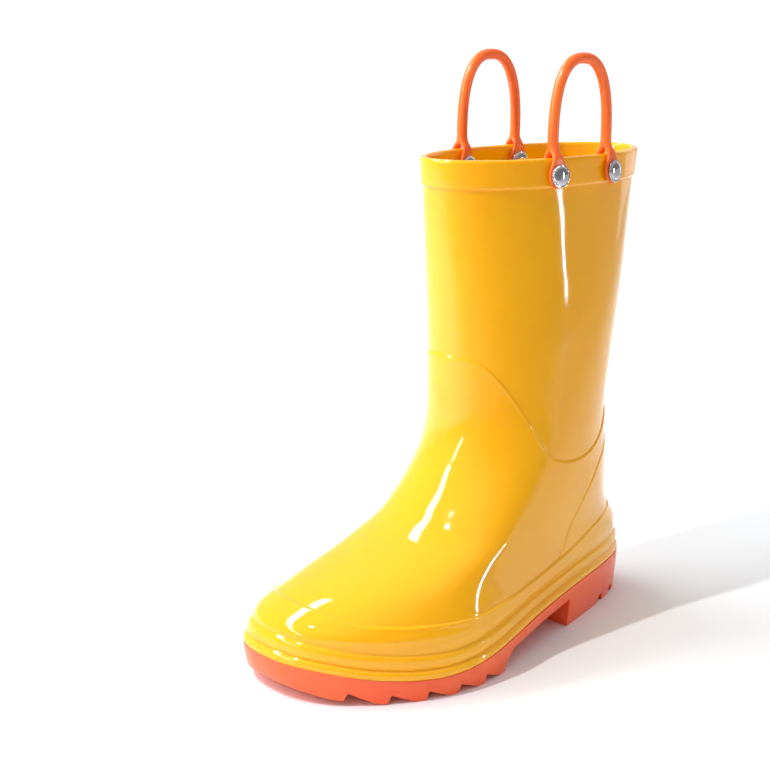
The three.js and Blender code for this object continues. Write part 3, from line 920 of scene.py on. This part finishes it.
def studioPaper():
    # matt white paper with the faint mottle of coated board; painted shade darkens it on the boot's
    # outer side and in front, and a painted glow brightens it away from the boot
    material, tree = newMaterial("studio paper, matt, painted shade and glow")
    place = addNode(tree, "ShaderNodeTexCoord").outputs["Object"]
    mottle = addNode(tree, "ShaderNodeTexNoise", {"Vector": place, "Scale": per(60), "Detail": 3})
    tone = twoTone(tree, mottle.outputs["Fac"], "EBEEF1", "EEF1F4")
    # painted shade: a factor that darkens the paper's colour towards the boot's outer side and its
    # front
    paintedShadeFactor = 1
    for way, start, end in studio["shade"]:
        reach = addNode(tree, "ShaderNodeVectorMath", {0: place, 1: way},
                        {"operation": "DOT_PRODUCT"})
        paintedShadeRamp = addNode(tree, "ShaderNodeMapRange",
                       {"Value": reach.outputs["Value"], "From Min": start, "From Max": end,
                        "To Min": 1, "To Max": studio["paintedShadeLevel"]},
                       {"interpolation_type": "SMOOTHSTEP"})
        both = addNode(tree, "ShaderNodeMath", {0: paintedShadeFactor, 1: paintedShadeRamp.outputs[0]},
                       {"operation": "MULTIPLY"})
        paintedShadeFactor = both.outputs[0]
    paper = addNode(tree, "ShaderNodeVectorMath", {0: tone.outputs[0], "Scale": paintedShadeFactor},
                    {"operation": "SCALE"})
    # painted glow: the paper gives off light of its own, none near the boot, more further away, and
    # less where the painted shade lies
    away = addNode(tree, "ShaderNodeVectorMath", {0: place}, {"operation": "LENGTH"})
    far = addNode(tree, "ShaderNodeMapRange", {"Value": away.outputs["Value"], "From Min": 0.1,
                                               "From Max": 0.7, "To Max": studio["paintedFloorGlow"]},
                  {"interpolation_type": "SMOOTHSTEP"})
    glow = addNode(tree, "ShaderNodeMath", {0: far.outputs[0], 1: paintedShadeFactor}, {"operation": "MULTIPLY"})
    shade(tree, {"Base Color": paper.outputs[0], "Roughness": 0.7, "Specular IOR Level": 0.2,
                 "Emission Color": linear("FFFFFF"), "Emission Strength": glow.outputs[0]})
    return material


def dress(pieces, material):
    for piece in pieces:
        piece.data.materials.clear()
        piece.data.materials.append(material)


dress([upper], yellowPvc())
dress([outsole], orangePvc("coral PVC, satin mould", "FF5E2A", "FF6831"))
dress(handles, orangePvc("orange PVC, satin mould", "FF6C20", "FF7628"))
dress(rivets, chromePlate())
dress([lining], cottonJersey())
dress([foam], evaFoam())
dress([cover], wovenCotton())
dress([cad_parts["lining_sole"]], needleFelt())
print("materials set")

studio = {
    "floorRings": [(0.6, 0), (1.4, 0), (2.6, 0), (4, 0), (4.8, 0.06), (5.3, 0.2), (5.6, 0.42)],  # m
    # strength of the paper's painted glow far from the boot
    "paintedFloorGlow": 0.5,
    # painted shade: the paper's colour darkens on the outer side and in front: direction, its start
    # and end in m
    "shade": [((0.838, 0.545, 0), 0.2, 0.8), ((0.714, -0.656, 0), 0.2, 0.8)],
    # how dark the painted shade leaves the paper
    "paintedShadeLevel": 0.5,
    "dim": 0.25,           # darkest side of the studio, and its brightest
    "bright": 0.78,
    "brightSide": (-0.7, -0.2, 0.68),
    "lights": {
        # width in m, watts, two ends of the long axis
        "stripLow": (0.06, 1.4, (0, -1.15, 0.22), (-0.35, -1.01, 0.52)),
        "stripHigh": (0.12, 8, (-0.38, -0.98, 0.56), (-0.7, 0.05, 1)),
        "rearPanel": (0.6, 1.3, (-0.1, 1.6, 0.02), (-0.1, 1.6, 0.9)),
        "sideStreak": (0.012, 1.6, (1.05, 0.8, 0.08), (1.05, 0.8, 0.42)),
        "frontKey": (0.035, 8.5, (-0.13, -0.64, 1.03), (-0.16, -0.64, 1.05)),
    },
}


def makeFloor():
    bm = bmesh.new()
    reach = studio["floorRings"][0][0]
    bmesh.ops.create_circle(bm, segments=96, radius=reach, cap_ends=True)
    edges = list(bm.edges)
    for radius, height in studio["floorRings"][1:]:
        grown = bmesh.ops.extrude_edge_only(bm, edges=edges)["geom"]
        ring = [v for v in grown if isinstance(v, bmesh.types.BMVert)]
        edges = [e for e in grown if isinstance(e, bmesh.types.BMEdge)]
        bmesh.ops.scale(bm, vec=(radius / reach, radius / reach, 1), verts=ring)
        for vert in ring:
            vert.co.z = height
        reach = radius
    floor = finishMesh(bm, "floor")
    dress([floor], studioPaper())


def addLight(name, width, watts, low, high, aim=(0, 0, 0.1)):
    # a soft box whose long side runs from low to high, facing the boot
    low, high = Vector(low), Vector(high)
    data = bpy.data.lights.new(name, "AREA")
    data.shape, data.size, data.size_y, data.energy = "RECTANGLE", width, (high - low).length, watts
    light = bpy.data.objects.new(name, data)
    bpy.context.collection.objects.link(light)
    light.visible_camera = False
    place = (low + high) / 2
    along = (high - low).normalized()
    back = place - Vector(aim)
    back = (back - along * back.dot(along)).normalized()
    turn = Matrix((along.cross(back), along, back)).transposed().to_4x4()
    light.matrix_world = Matrix.Translation(place) @ turn


def makeWorld():
    # the studio is bright overhead and on the inner side of the boot, and dim on the other side
    world = bpy.data.worlds.new("studio")
    bpy.context.scene.world = world
    world.use_nodes = True
    tree = world.node_tree
    tree.nodes.clear()
    way = addNode(tree, "ShaderNodeTexCoord").outputs["Generated"]
    facing = addNode(tree, "ShaderNodeVectorMath", {0: way, 1: studio["brightSide"]},
                     {"operation": "DOT_PRODUCT"})
    power = addNode(tree, "ShaderNodeMapRange",
                    {"Value": facing.outputs["Value"], "From Min": -0.35, "From Max": 0.45,
                     "To Min": studio["dim"], "To Max": studio["bright"]},
                    {"interpolation_type": "SMOOTHSTEP"})
    glow = addNode(tree, "ShaderNodeBackground",
                   {"Color": linear("FFFFFF"), "Strength": power.outputs[0]})
    addNode(tree, "ShaderNodeOutputWorld", {"Surface": glow.outputs[0]})


makeFloor()
makeWorld()
for name, (width, watts, low, high) in studio["lights"].items():
    addLight(name, width, watts, low, high)
bpy.context.scene.view_settings.view_transform = "Standard"
print("studio set")
